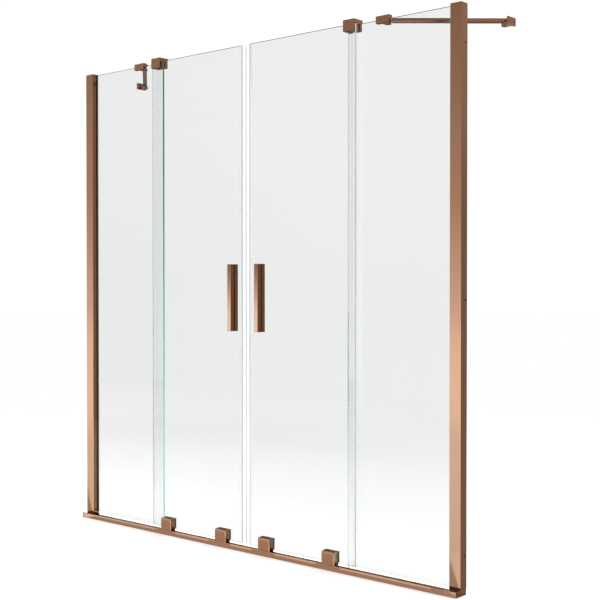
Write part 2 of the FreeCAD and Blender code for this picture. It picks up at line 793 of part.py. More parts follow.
def make_stay_bar():
    """A round bar along X with round ends, a flat tongue at the clamp and a flat seat at the wall."""
    radius = "bar_diameter / 2"
    round_bar = rod("bar_round", "x", (f"-{radius}", "0", "0"), f"bar_length + {radius}", radius)
    slab = box("bar_slab", ("0", "bar_length"), (f"-{radius}", radius), (f"-{radius}", radius))
    ends = []
    for n, x in enumerate(("0", "bar_length")):
        ends.append(rod(f"bar_end{n}", "z", (x, "0", f"-{radius}"), radius, radius))
    nosed = doc.addObject("Part::Common", "bar_nosed")
    nosed.Base = round_bar
    nosed.Tool = fuse("bar_plan", [slab] + ends)
    bare = "fork_radius + tongue_relief"
    clamp_end = (f"-{radius}", bare)
    wall_end = (f"bar_length - ({bare})", f"bar_length + {radius}")
    wide = (f"-{radius}", radius)
    seat = "bar_seat_flat - bar_diameter / 2"
    tools = [
        box("bar_tongue_over", clamp_end, wide, ("tongue_thickness / 2", radius)),
        box("bar_tongue_under", clamp_end, wide, (f"-{radius}", "-tongue_thickness / 2")),
        box("bar_wall_seat", wall_end, wide, (f"-{radius}", seat)),
        rod("bar_clamp_bore", "z", ("0", "0", "-tongue_thickness / 2"), "tongue_thickness / 2", PIN_BORE),
        rod("bar_wall_bore", "z", ("bar_length", "0", seat), f"{seat} + bar_pin_depth", PIN_BORE),
    ]
    bar = cut("stay_bar_straight", nosed, tools)
    settle(bar, ("clamp_middle", "pivot_y", "bar_height"), FreeCAD.Rotation(FreeCAD.Vector(0, 0, 1), 1))
    bind(bar, "Placement.Rotation.Angle", "atan2(bar_run_y; bar_run_x)")
    keep_pair("stay_bar", bar)


def make_stay_wall_bracket():
    """A wall plate with one ear, which carries the end of the bar on its top."""
    pivot = ("wall_pivot_x", "wall_pivot_y")
    wide = ("wall_pivot_y - bracket_length / 2", "wall_pivot_y + bracket_length / 2")
    face = "half_width - bracket_plate"
    plate = block_body("stay_wall_plate", (face, "half_width"), wide, ("bracket_foot", "bracket_top"))
    dress(plate, "Fillet", "Radius", "clamp_rounding",
          lambda edge: on_outside(plate, edge, ["low"]) or (runs_along(edge, "x")))
    ear = round_ear("bracket_ear", pivot, ("x", f"{face} + clamp_rounding"),
                    ("bracket_foot", "bracket_ear_top"))
    tools = [rod("bracket_pin_bore", "z", (*pivot, "bracket_foot"), "bracket_ear_top", PIN_BORE)]
    for number, sign in enumerate(("-", "+")):
        start = (face, f"wall_pivot_y {sign} bracket_hole_spacing / 2", "bar_height - bracket_drop")
        tools.append(rod(f"bracket_hole{number}", "x", start, "half_width", "bracket_hole / 2"))
    eared = fuse("bracket_eared", [plate] + ear)
    keep_pair("stay_wall_bracket", cut("stay_wall_bracket_bored", eared, tools))


def make_pivot_pins():
    pins = []
    for name, pivot, foot, tip in (
            ("clamp", ("clamp_middle", "pivot_y"), "clamp_foot", "clamp_top"),
            ("bracket", ("wall_pivot_x", "wall_pivot_y"), "bracket_foot", "bracket_pin_tip")):
        shank = rod(f"{name}_pin_shank", "z", (*pivot, foot), tip, "pin_diameter / 2")
        head = rod(f"{name}_pin_head", "z", (*pivot, f"{foot} - pin_head_height"), foot, "pin_head / 2")
        pins.append(fuse(f"{name}_pin", [shank, head]))
    keep_both("stay_pivot_pins", pins)


# Doors

TROLLEYS = {"outer": "slider_outer - trolley_inset_outer", "inner": "slider_inner + trolley_inset_inner"}


def trolley_screw_places(middle):
    return [f"({middle}) {sign} trolley_screw_spacing / 2" for sign in ("-", "+")]


def door_holes():
    holes = []
    for height in ("handle_hole_low", "handle_hole_high"):
        holes.append((("handle_line", height), "handle_bush + fit_gap"))
    for middle in TROLLEYS.values():
        for x in trolley_screw_places(middle):
            holes.append(((x, "trolley_screw_height"), "trolley_bush + fit_gap"))
    return holes


def make_trolley(name, middle):
    """A roller housing with a sloping top, open below, with axle seats and threads for its clamp screws."""
    section = [
        ("rail_front", "trolley_foot"),
        ("trolley_back", "trolley_foot"),
        ("trolley_back", "trolley_top"),
        ("rail_front", "trolley_top - trolley_fall"),
    ]
    housing = profile_body(f"trolley_{name}", "YZ_Plane", [section],
                           f"({middle}) - trolley_width / 2", "trolley_width")
    dress(housing, "Fillet", "Radius", "trolley_rounding",
          lambda edge: not on_outside(housing, edge, ["foot", "back"]))
    hollow = new_sketch(housing, "hollow", "XY_Plane", "trolley_foot")
    draw_box(hollow, (f"({middle}) - trolley_pocket / 2", f"({middle}) + trolley_pocket / 2"),
             ("track_low", "track_high"))
    roof = "roller_height + roller_diameter / 2 + trolley_pocket_headroom"
    pocket(housing, hollow, f"{roof} - trolley_foot", True)
    axle_from = "track_low - axle_bite"
    tools = [rod(f"axle_seat_{name}", "y", (middle, axle_from, "roller_height"), "trolley_back",
                 "axle_diameter / 2 + bore_gap / 2")]
    for number, sx in enumerate(trolley_screw_places(middle)):
        tools.append(rod(f"trolley_thread_{name}{number}", "y",
                         (sx, "trolley_back - trolley_screw_bite", "trolley_screw_height"), "trolley_back",
                         "trolley_screw / 2 + bore_gap"))
    keep_pair(f"trolley_{name}", cut(f"trolley_{name}_bored", housing, tools))
    return rod(f"axle_{name}", "y", (middle, axle_from, "roller_height"), "trolley_back", "axle_diameter / 2")


def make_trolley_clamp(name, middle):
    """Back plate, pads, sleeves and countersunk screws that hold one housing on the pane."""
    x = (f"({middle}) - trolley_width / 2 + plate_margin", f"({middle}) + trolley_width / 2 - plate_margin")
    tall = ("plate_foot", "plate_top")
    plate = box(f"plate_blank_{name}", x, ("plate_front", "plate_back"), tall)
    pads = []
    pad_spans = (("trolley_back", "slider_front"), ("slider_back", "plate_front"))
    for number, span in enumerate(pad_spans):
        blank = box(f"trolley_pad_blank_{name}{number}", x, span, tall)
        holes = []
        for n, sx in enumerate(trolley_screw_places(middle)):
            start = (sx, span[0], "trolley_screw_height")
            label = f"trolley_pad_hole_{name}{number}{n}"
            holes.append(rod(label, "y", start, span[1], "trolley_bush + fit_gap"))
        pads.append(cut(f"trolley_pad_{name}{number}", blank, holes))
    sinks = []
    screws = []
    for n, sx in enumerate(trolley_screw_places(middle)):
        start = (sx, "plate_front", "trolley_screw_height")
        sinks.append(cone(f"plate_sink_{name}{n}", "y", start, "plate_back",
                          "trolley_screw / 2 + bore_gap", "trolley_screw_head / 2 + bore_gap"))
        tip = (sx, "trolley_back - trolley_screw_bite", "trolley_screw_height")
        shank = rod(f"trolley_shank_{name}{n}", "y", tip, "plate_front", "trolley_screw / 2")
        head = cone(f"trolley_head_{name}{n}", "y", start, "plate_back",
                    "trolley_screw / 2", "trolley_screw_head / 2")
        drive = hex_socket(f"trolley_drive_{name}{n}", "y", start, "plate_back", "trolley_socket")
        solid = fuse(f"trolley_screw_solid_{name}{n}", [shank, head])
        screws.append(cut(f"trolley_screw_{name}{n}", solid, [drive]))
        collar = (sx, "trolley_back", "trolley_screw_height")
        sleeve = rod(f"trolley_sleeve_blank_{name}{n}", "y", collar, "plate_front", "trolley_bush")
        bore = rod(f"trolley_sleeve_bore_{name}{n}", "y", collar, "plate_front",
                   "trolley_screw / 2 + bore_gap")
        pads.append(cut(f"trolley_sleeve_{name}{n}", sleeve, [bore]))
    return cut(f"clamp_plate_{name}", plate, sinks), pads, screws


def make_roller(name, middle):
    """A wheel turned about its axle, with bevelled rims and a raised hub on both sides."""
    roller = new_body(f"roller_{name}")
    settle(roller, (middle, "track_line", "roller_height"))
    sketch = new_sketch(roller, "half_section", "XY_Plane", "0")
    bore = "axle_diameter / 2 + bore_gap"
    rim = "roller_diameter / 2"
    half = "roller_width / 2"
    draw_loop(sketch, [
        (bore, "-hub_width / 2"),
        ("roller_hub / 2", "-hub_width / 2"),
        ("roller_hub / 2", f"-{half}"),
        (f"{rim} - roller_bevel", f"-{half}"),
        (rim, f"-{half} + roller_bevel"),
        (rim, f"{half} - roller_bevel"),
        (f"{rim} - roller_bevel", half),
        ("roller_hub / 2", half),
        ("roller_hub / 2", "hub_width / 2"),
        (bore, "hub_width / 2"),
    ])
    turned = roller.newObject("PartDesign::Revolution", f"roller_{name}_turned")
    turned.Profile = sketch
    turned.ReferenceAxis = (sketch, ["V_Axis"])
    turned.Angle = 360
    roller.Label = f"roller_right_{name}"
    keep(roller)
    keep(mirrored(f"roller_left_{name}", roller))


def make_handle():
    x = ("handle_line - handle_width / 2", "handle_line + handle_width / 2")
    tall = ("handle_foot", "handle_top")
    outside = block_body("handle_outside", x, ("handle_outside_front", "slider_front"), tall)
    inside = block_body("handle_inside", x, ("slider_back", "handle_inside_back"), tall)
    for half, flat in ((outside, "back"), (inside, "front")):
        dress(half, "Fillet", "Radius", "handle_rounding", lambda edge: not on_outside(half, edge, [flat]))
    threads = []
    recesses = []
    bushes = []
    screws = []
    for n, height in enumerate(("handle_hole_low", "handle_hole_high")):
        tip = ("handle_line", "slider_front - handle_screw_bite", height)
        seat = ("handle_line", "handle_head_seat", height)
        face = ("handle_line", "slider_front", height)
        back = ("handle_line", "slider_back", height)
        threads.append(rod(f"handle_thread{n}", "y", tip, "slider_front", "handle_screw / 2 + bore_gap"))
        way = rod(f"handle_way{n}", "y", back, "handle_head_seat", "handle_screw / 2 + bore_gap")
        well = rod(f"handle_well{n}", "y", seat, "handle_inside_back", "handle_screw_head / 2 + fit_gap")
        recesses.append(fuse(f"handle_recess{n}", [way, well]))
        sleeve = rod(f"handle_sleeve{n}", "y", face, "slider_back", "handle_bush")
        bore = rod(f"handle_sleeve_bore{n}", "y", face, "slider_back", "handle_screw / 2 + bore_gap")
        bushes.append(cut(f"handle_bush{n}", sleeve, [bore]))
        head_top = "handle_head_seat + handle_screw_head_height"
        shank = rod(f"handle_shank{n}", "y", tip, "handle_head_seat", "handle_screw / 2")
        head = rod(f"handle_head{n}", "y", seat, head_top, "handle_screw_head / 2")
        deep = ("handle_line", f"{head_top} - handle_socket_depth", height)
        drive = hex_socket(f"handle_drive{n}", "y", deep, head_top, "handle_socket")
        screws.append(cut(f"handle_screw{n}", fuse(f"handle_screw_solid{n}", [shank, head]), [drive]))
    keep_pair("handle_outside", cut("handle_outside_bored", outside, threads))
    keep_pair("handle_inside", cut("handle_inside_bored", inside, recesses))
    keep_pair("handle_bushes", group("handle_bushes_set", bushes))
    keep_pair("handle_screws", group("handle_screws_set", screws))


def make_door_seals():
    nose = "seal_meet_gap"
    outer = [
        (nose, "seal_front"),
        ("slider_inner + seal_grip", "seal_front"),
        ("slider_inner + seal_grip", "slider_front"),
        ("slider_inner", "slider_front"),
        ("slider_inner", "slider_back"),
        ("slider_inner + seal_grip", "slider_back"),
        ("slider_inner + seal_grip", "seal_back"),
        (nose, "seal_back"),
    ]
    magnet_room = [
        ("magnet_inner", "slider_front"),
        ("magnet_outer", "slider_front"),
        ("magnet_outer", "slider_back"),
        ("magnet_inner", "slider_back"),
    ]
    air_room = [
        ("magnet_outer + seal_wall", "slider_front"),
        ("slider_inner - seal_wall", "slider_front"),
        ("slider_inner - seal_wall", "slider_back"),
        ("magnet_outer + seal_wall", "slider_back"),
    ]
    tall = "glass_top - slider_foot"
    keep_pair("meeting_seal", profile_body("meeting_seal", "XY_Plane", [outer, magnet_room, air_room],
                                           "slider_foot", tall))
    magnet = box("magnet_strip", ("magnet_inner + bore_gap", "magnet_outer - bore_gap"),
                 ("slider_front + bore_gap", "slider_back - bore_gap"), ("slider_foot", "glass_top"))
    keep_pair("magnet_strip", magnet)
    wall = "edge_seal_wall"
    grip = "slider_outer - edge_seal_grip"
    wiper = [
        (grip, f"slider_front - {wall}"),
        (f"slider_outer + {wall}", f"slider_front - {wall}"),
        (f"slider_outer + {wall}", "fixed_front - running_gap"),
        ("slider_outer", "fixed_front - running_gap"),
        ("slider_outer", f"slider_back + {wall}"),
        (grip, f"slider_back + {wall}"),
        (grip, "slider_back"),
        ("slider_outer", "slider_back"),
        ("slider_outer", "slider_front"),
        (grip, "slider_front"),
    ]
    edge_seal = profile_body("edge_seal", "XY_Plane", [wiper], "slider_foot", "edge_seal_top - slider_foot")
    keep_pair("edge_seal", edge_seal)


def make_doors():
    make_pane("sliding_glass", ("slider_inner", "slider_outer"), ("slider_foot", "glass_top"),
              "slider_back", door_holes())
    make_handle()
    make_door_seals()
    plates = []
    pads = []
    screws = []
    axles = []
    for name, middle in TROLLEYS.items():
        axles.append(make_trolley(name, middle))
        plate, soft, fixings = make_trolley_clamp(name, middle)
        plates.append(plate)
        pads += soft
        screws += fixings
        make_roller(name, middle)
    keep_pair("clamp_plates", group("clamp_plates_set", plates))
    keep_pair("trolley_pads", group("trolley_pads_set", pads))
    keep_pair("trolley_screws", group("trolley_screws_set", screws))
    keep_pair("roller_axles", group("roller_axles_set", axles))


def make_screen():
    make_rail()
    make_rail_end_cap()
    make_sill_pieces()
    make_wall_channel()
    make_glazing_profile()
    make_post_cap()
    make_glazing_gasket()
    make_pane("fixed_glass", ("fixed_inner", "fixed_outer"), ("fixed_foot", "glass_top"), "fixed_back", [])
    guide_pads, guide_grubs = make_top_guide()
    clamp_pads, clamp_grubs = make_stay_clamp()
    keep_both("clamp_pads", guide_pads + clamp_pads)
    keep_both("grub_screws", guide_grubs + clamp_grubs)
    make_stay_bar()
    make_stay_wall_bracket()
    make_pivot_pins()
    make_doors()
    doc.recompute()


def check_and_write():
    for thing in doc.Objects:
        if "Invalid" in thing.State or "Error" in thing.State:
            raise RuntimeError(f"{thing.Label} failed: {thing.State}")
    for node in nodes:
        if node.Shape.isNull() or not node.Shape.isValid() or not node.Shape.Solids:
            raise RuntimeError(f"{node.Label} has no valid solid")
    os.makedirs("parts", exist_ok=True)
    for node in nodes:
        node.Shape.exportStep(f"parts/{node.Label}.step")
        print(f"{node.Label}: {len(node.Shape.Solids)} solids, {node.Shape.Volume:.0f} mm3")


make_screen()
check_and_write()
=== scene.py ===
import math

import bpy
import numpy as np
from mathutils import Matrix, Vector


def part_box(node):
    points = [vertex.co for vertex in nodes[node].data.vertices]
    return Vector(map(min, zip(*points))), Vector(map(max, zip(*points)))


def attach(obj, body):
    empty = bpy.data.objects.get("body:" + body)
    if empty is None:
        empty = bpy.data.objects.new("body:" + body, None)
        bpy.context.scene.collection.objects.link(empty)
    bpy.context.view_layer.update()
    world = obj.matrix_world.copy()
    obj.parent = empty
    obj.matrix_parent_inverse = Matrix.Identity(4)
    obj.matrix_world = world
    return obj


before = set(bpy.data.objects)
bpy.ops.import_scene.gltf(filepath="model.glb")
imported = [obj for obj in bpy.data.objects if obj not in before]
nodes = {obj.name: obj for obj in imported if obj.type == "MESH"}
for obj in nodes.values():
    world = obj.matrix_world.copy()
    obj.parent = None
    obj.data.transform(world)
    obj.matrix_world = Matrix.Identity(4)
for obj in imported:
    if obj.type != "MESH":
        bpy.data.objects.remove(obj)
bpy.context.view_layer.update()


# Node helpers: an input is linked if a socket is given, or else set to the value
def setInput(tree, socket, value):
    if isinstance(value, bpy.types.NodeSocket):
        tree.links.new(value, socket)
    else:
        socket.default_value = value


def addNode(tree, kind, inputs=None, **props):
    node = tree.nodes.new(kind)
    for name, value in props.items():
        setattr(node, name, value)
    for name, value in (inputs or {}).items():
        setInput(tree, node.inputs[name], value)
    return node


def newTree(name):
    material = bpy.data.materials.new(name)
    material.use_nodes = True
    material.node_tree.nodes.clear()
    return material, material.node_tree


def showSurface(tree, shader):
    addNode(tree, "ShaderNodeOutputMaterial", {"Surface": shader.outputs[0]})


def coordinates(tree):
    return addNode(tree, "ShaderNodeTexCoord").outputs


def axes(tree, vector):
    return addNode(tree, "ShaderNodeSeparateXYZ", {0: vector}).outputs


def mathNode(tree, operation, first, second=0.0):
    return addNode(tree, "ShaderNodeMath", {0: first, 1: second}, operation=operation).outputs[0]


def multiply(tree, first, second):
    return mathNode(tree, "MULTIPLY", first, second)


def without(tree, value):
    return mathNode(tree, "SUBTRACT", 1.0, value)


def between(tree, value, low, high):
    over = mathNode(tree, "GREATER_THAN", value, low)
    return multiply(tree, over, mathNode(tree, "LESS_THAN", value, high))


def largest(tree, first, *others):
    for other in others:
        first = mathNode(tree, "MAXIMUM", first, other)
    return first


def mixValue(tree, factor, first, second):
    return addNode(tree, "ShaderNodeMix", {0: factor, 2: first, 3: second}, data_type="FLOAT").outputs[0]


def mixColor(tree, factor, first, second):
    return addNode(tree, "ShaderNodeMix", {0: factor, 6: first, 7: second}, data_type="RGBA").outputs[2]


# From a span of values to a span of results
def spread(tree, value, results, span=(0.0, 1.0), shape="LINEAR"):
    inputs = {"Value": value, "From Min": span[0], "From Max": span[1],
              "To Min": results[0], "To Max": results[1]}
    return addNode(tree, "ShaderNodeMapRange", inputs, interpolation_type=shape).outputs[0]


# A colour that goes from step to step of a value
def steps(tree, value, tones):
    low, high = tones[0][0], tones[-1][0]
    ramp = addNode(tree, "ShaderNodeValToRGB", {0: spread(tree, value, (0.0, 1.0), (low, high))})
    stops = ramp.color_ramp.elements
    while len(stops) < len(tones):
        stops.new(0.5)
    for stop, (place, tone) in zip(list(stops), tones):
        stop.position = (place - low) / (high - low)
        stop.color = (*tone, 1)
    return ramp.outputs[0]


def greys(tones):
    return [(place, (tone, tone, tone)) for place, tone in tones]


# Shared effects, as node groups with a tone and a height
def newGroup(name, inputs):
    group = bpy.data.node_groups.new(name, "ShaderNodeTree")
    for label, kind in inputs.items():
        group.interface.new_socket(label, in_out="INPUT", socket_type="NodeSocket" + kind)
    for label in ("Tone", "Height"):
        group.interface.new_socket(label, in_out="OUTPUT", socket_type="NodeSocketFloat")
    return group, group.nodes.new("NodeGroupInput").outputs


def closeGroup(group, tone, height):
    addNode(group, "NodeGroupOutput", {"Tone": tone, "Height": height})
    return group


def useGroup(tree, group, inputs):
    return addNode(tree, "ShaderNodeGroup", inputs, node_tree=group).outputs


def noise(tree, place, scale, detail, rough=0.5):
    inputs = {"Vector": place, "Scale": scale, "Detail": detail, "Roughness": rough}
    return addNode(tree, "ShaderNodeTexNoise", inputs).outputs[0]


grainLook = {"lineDetail": 4.0, "lineRough": 0.65, "cloudDetail": 2.0, "cloudShare": 0.4, "depth": 0.0004}
skinLook = {"cloudDetail": 3.0, "peelDetail": 1.0, "depth": 0.0003}


def makeDrawnGrain():
    # long fine lines from stretched coordinates, over slow clouds of tone
    group, given = newGroup("drawnGrain", {"Lines": "Vector", "Place": "Vector", "Clouds": "Float"})
    lines = noise(group, given["Lines"], 1.0, grainLook["lineDetail"], grainLook["lineRough"])
    clouds = noise(group, given["Place"], given["Clouds"], grainLook["cloudDetail"])
    return closeGroup(group, mixValue(group, grainLook["cloudShare"], lines, clouds), lines)


def makeMouldedSkin():
    # soft clouds for tone and a fine orange-peel for height
    group, given = newGroup("mouldedSkin", {"Place": "Vector", "Clouds": "Float", "Peel": "Float"})
    clouds = noise(group, given["Place"], given["Clouds"], skinLook["cloudDetail"])
    return closeGroup(group, clouds, noise(group, given["Place"], given["Peel"], skinLook["peelDetail"]))


drawnGrain = makeDrawnGrain()
mouldedSkin = makeMouldedSkin()
print("shared effects ready")


def drawn(tree, place, look):
    lines = addNode(tree, "ShaderNodeMapping", {"Vector": place, "Scale": look["stretch"]}).outputs[0]
    return useGroup(tree, drawnGrain, {"Lines": lines, "Place": place, "Clouds": look["clouds"]})


def moulding(tree, place, look):
    return useGroup(tree, mouldedSkin, {"Place": place, "Clouds": look["clouds"], "Peel": look["peel"]})


# A finish starts as a bare shader. Its colour may glow a little, which is painted light on a part that is no
# lamp, and its height may be felt as a bump
def newFinish(name):
    material, tree = newTree(name)
    return material, tree, addNode(tree, "ShaderNodeBsdfPrincipled")


def paint(tree, shader, look, color, effect, depth):
    setInput(tree, shader.inputs["Base Color"], color)
    setInput(tree, shader.inputs["Roughness"], spread(tree, effect["Tone"], look["rough"]))
    # painted light: the colour glows, though the part is no lamp
    if "glow" in look:
        setInput(tree, shader.inputs["Emission Color"], color)
        shader.inputs["Emission Strength"].default_value = look["glow"]
    if "bump" in look:
        inputs = {"Height": effect["Height"], "Strength": look["bump"], "Distance": depth}
        setInput(tree, shader.inputs["Normal"], addNode(tree, "ShaderNodeBump", inputs).outputs[0])


# Drawn metals: stretch is lines per metre along X, Y and Z, so the small number is the drawing direction.
# The rail's roller track, between two depths and two heights, is coloured near black: painted shade in the
# groove
drawnMetals = {
    "railGold": {"dark": (0.60, 0.365, 0.240, 1), "light": (0.66, 0.410, 0.278, 1),
                 "stretch": (7, 1400, 1400), "clouds": 6.0, "rough": (0.06, 0.10), "bump": 0.02,
                 "track": {"depth": (-0.0222, -0.0120), "height": (0.0120, 0.0170),
                           "color": (0.02, 0.009, 0.005, 1)}},
    "postGold": {"dark": (0.60, 0.365, 0.240, 1), "light": (0.66, 0.410, 0.278, 1),
                 "stretch": (1400, 1400, 7), "clouds": 6.0, "rough": (0.05, 0.09), "bump": 0.012},
    "capGold": {"dark": (0.64, 0.405, 0.275, 1), "light": (0.71, 0.460, 0.320, 1),
                "stretch": (600, 600, 600), "clouds": 40.0, "rough": (0.12, 0.20), "bump": 0.05},
    "fittingGold": {"dark": (0.58, 0.350, 0.230, 1), "light": (0.65, 0.400, 0.270, 1),
                    "stretch": (900, 900, 900), "clouds": 50.0, "rough": (0.07, 0.12), "bump": 0.02},
    "handleGold": {"dark": (0.60, 0.365, 0.240, 1), "light": (0.66, 0.410, 0.278, 1),
                   "stretch": (1800, 1800, 20), "clouds": 20.0, "rough": (0.05, 0.09), "bump": 0.012},
    "turnedSteel": {"dark": (0.50, 0.49, 0.48, 1), "light": (0.68, 0.67, 0.66, 1),
                    "stretch": (500, 2600, 2600), "clouds": 90.0, "rough": (0.22, 0.36), "bump": 0.05},
}


def makeDrawnMetal(name, look):
    material, tree, shader = newFinish(name)
    place = coordinates(tree)["Object"]
    grain = drawn(tree, place, look)
    color = mixColor(tree, grain["Tone"], look["dark"], look["light"])
    if "track" in look:
        depth, height = axes(tree, place)[1:3]
        # painted shade: the groove of the roller track is coloured near black
        inside = multiply(tree, between(tree, depth, *look["track"]["depth"]),
                          between(tree, height, *look["track"]["height"]))
        color = mixColor(tree, inside, color, look["track"]["color"])
    paint(tree, shader, look, color, grain, grainLook["depth"])
    shader.inputs["Metallic"].default_value = 1.0
    showSurface(tree, shader)
    return material


# Plastics and rubber: clouds and peel are cycles per metre
moulded = {
    "whiteNylon": {"dark": (0.74, 0.73, 0.70, 1), "light": (0.83, 0.82, 0.79, 1), "clouds": 60.0,
                   "peel": 1800.0, "rough": (0.38, 0.50), "bump": 0.08},
    # the magnet's glow is painted light: it keeps the magnet bright where it sits in shade inside the seal
    "whiteMagnet": {"dark": (0.86, 0.88, 0.88, 1), "light": (0.94, 0.96, 0.96, 1), "clouds": 35.0,
                    "peel": 1500.0, "rough": (0.45, 0.60), "bump": 0.08, "milky": 0.10, "glow": 0.9},
    "darkNylon": {"dark": (0.050, 0.036, 0.028, 1), "light": (0.090, 0.066, 0.052, 1), "clouds": 60.0,
                  "peel": 1800.0, "rough": (0.38, 0.50), "bump": 0.08},
    "softGasket": {"dark": (0.055, 0.042, 0.034, 1), "light": (0.095, 0.074, 0.062, 1), "clouds": 70.0,
                   "peel": 2400.0, "rough": (0.50, 0.68), "bump": 0.12},
}


def makeMoulded(name, look):
    material, tree, shader = newFinish(name)
    skin = moulding(tree, coordinates(tree)["Object"], look)
    color = mixColor(tree, skin["Tone"], look["dark"], look["light"])
    paint(tree, shader, look, color, skin, skinLook["depth"])
    shader.inputs["Alpha"].default_value = look.get("milky", 1.0)
    showSurface(tree, shader)
    return material


# Glass: clear faces, and tinted edges wherever the surface turns away from the pane's own face.
# Light rays go straight on through it, so its shadow is a pale tint
glasses = {
    "clearGlass": {"face": (0.914, 0.926, 0.921, 1), "faceThick": (0.902, 0.915, 0.910, 1),
                   "edge": (0.80, 0.91, 0.89, 1), "clouds": 2.5, "peel": 900.0, "edgeRough": 0.03,
                   "faceTurn": 0.9, "bend": 1.5, "shadow": (0.90, 0.92, 0.915, 1)},
}


def makeGlass(name, look):
    material, tree, shader = newFinish(name)
    found = coordinates(tree)
    tone = moulding(tree, found["Object"], look)["Tone"]
    face = mixColor(tree, tone, look["faceThick"], look["face"])
    flat = mathNode(tree, "ABSOLUTE", axes(tree, found["Normal"])[1])
    edge = mathNode(tree, "LESS_THAN", flat, look["faceTurn"])
    setInput(tree, shader.inputs["Base Color"], mixColor(tree, edge, face, look["edge"]))
    setInput(tree, shader.inputs["Roughness"], spread(tree, edge, (0.0, look["edgeRough"])))
    shader.inputs["Transmission Weight"].default_value = 1.0
    shader.inputs["IOR"].default_value = look["bend"]
    shadowRay = addNode(tree, "ShaderNodeLightPath").outputs["Is Shadow Ray"]
    through = addNode(tree, "ShaderNodeBsdfTransparent", {"Color": look["shadow"]})
    mix = addNode(tree, "ShaderNodeMixShader", {0: shadowRay, 1: shader.outputs[0], 2: through.outputs[0]})
    showSurface(tree, mix)
    return material


# Extruded vinyl: a thin skin that shows what is behind it, and less so where it is seen along its wall. Its
# glow is painted light
vinyls = {
    "clearVinyl": {"dark": (0.84, 0.89, 0.89, 1), "light": (0.93, 0.96, 0.96, 1), "stretch": (900, 900, 5),
                   "clouds": 12.0, "rough": (0.12, 0.22), "skin": (0.03, 0.20), "turn": 0.5, "glow": 0.3},
    "milkyVinyl": {"dark": (0.86, 0.89, 0.89, 1), "light": (0.94, 0.96, 0.96, 1), "stretch": (5, 900, 900),
                   "clouds": 12.0, "rough": (0.30, 0.42), "skin": (0.60, 0.75), "turn": 0.5, "glow": 0.4},
}


def makeVinyl(name, look):
    material, tree, shader = newFinish(name)
    grain = drawn(tree, coordinates(tree)["Object"], look)
    color = mixColor(tree, grain["Tone"], look["dark"], look["light"])
    paint(tree, shader, look, color, grain, grainLook["depth"])
    facing = addNode(tree, "ShaderNodeLayerWeight").outputs["Facing"]
    setInput(tree, shader.inputs["Alpha"], spread(tree, facing, look["skin"], (look["turn"], 1.0)))
    showSurface(tree, shader)
    return material


# Ground edges of the panes: low and high are their colours at the two heights of rise, which clouds shift by
# the drift, and top is that of the level edges. The fade from a bright low colour to a darker high one is
# painted light, a glow of floor light at the foot of the edge, and the glow adds more painted light. From
# within the pane an upright edge is nearly clear
edgeLooks = {
    "bareEdge": {"low": (0.28, 0.98, 0.84, 1), "high": (0.0, 0.19, 0.12, 1), "top": (0.10, 0.12, 0.115, 1),
                 "rise": (0.50, 1.25), "clouds": 14.0, "peel": 1600.0, "rough": (0.32, 0.48), "bump": 0.06,
                 "glow": 0.15},
    "sealedEdge": {"low": (0.92, 0.97, 0.96, 1), "high": (0.84, 0.90, 0.89, 1), "top": (0.10, 0.12, 0.115, 1),
                   "rise": (0.35, 1.20), "clouds": 14.0, "peel": 1600.0, "rough": (0.32, 0.48), "bump": 0.06},
}
edgeWays = {"drift": 0.2, "levelTurn": 0.5, "uprightWithin": 0.04, "levelWithin": 0.75}


def makeGroundEdge(name, look):
    material, tree, shader = newFinish(name)
    found = coordinates(tree)
    skin = moulding(tree, found["Object"], look)
    drift = multiply(tree, skin["Tone"], edgeWays["drift"])
    height = mathNode(tree, "ADD", drift, axes(tree, found["Object"])[2])
    # painted light: the upright edges are bright at the foot and darker higher up
    upright = mixColor(tree, spread(tree, height, (0.0, 1.0), look["rise"]), look["low"], look["high"])
    steep = mathNode(tree, "ABSOLUTE", axes(tree, found["Normal"])[2])
    level = mathNode(tree, "GREATER_THAN", steep, edgeWays["levelTurn"])
    paint(tree, shader, look, mixColor(tree, level, upright, look["top"]), skin, skinLook["depth"])
    within = addNode(tree, "ShaderNodeAttribute", attribute_name="within").outputs["Fac"]
    behind = addNode(tree, "ShaderNodeNewGeometry").outputs["Backfacing"]
    thin = spread(tree, level, (edgeWays["uprightWithin"], edgeWays["levelWithin"]))
    setInput(tree, shader.inputs["Alpha"], mixValue(tree, largest(tree, within, behind), 1.0, thin))
    showSurface(tree, shader)
    return material


finishes = {}
for makeFinish, looks in ((makeDrawnMetal, drawnMetals), (makeMoulded, moulded), (makeGlass, glasses),
                          (makeVinyl, vinyls), (makeGroundEdge, edgeLooks)):
    finishes.update({name: makeFinish(name, look) for name, look in looks.items()})
print("finishes:", ", ".join(finishes))

# Which finish each node takes, by how its name begins
wears = {
    "railGold": ["bottom_rail", "rail_cover_strip"],
    "postGold": ["glazing_profile", "wall_channel", "post_caps"],
    "capGold": ["rail_end_cap"],
    "fittingGold": ["top_guide", "stay_clamp", "stay_bar", "stay_wall_bracket", "trolley_outer",
                    "trolley_inner", "clamp_plates"],
    "handleGold": ["handle_outside", "handle_inside"],
    "turnedSteel": ["profile_screws", "grub_screws", "stay_pivot_pins", "handle_screws", "trolley_screws",
                    "roller_axles"],
    "whiteNylon": ["handle_bushes", "roller_left", "roller_right"],
    "darkNylon": ["guide_liners"],
    "whiteMagnet": ["magnet_strip"],
    "softGasket": ["glazing_gaskets", "clamp_pads", "trolley_pads"],
    "clearGlass": ["fixed_glass", "sliding_glass"],
    "clearVinyl": ["meeting_seal", "edge_seal"],
    "milkyVinyl": ["rail_gaskets"],
}


def dressNodes():
    bare = set(nodes)
    for name, starts in wears.items():
        for label in [label for label in nodes if label.startswith(tuple(starts))]:
            nodes[label].data.materials.clear()
            nodes[label].data.materials.append(finishes[name])
            bare.discard(label)
    print("dressed nodes:", len(nodes) - len(bare), "bare:", sorted(bare))


dressNodes()


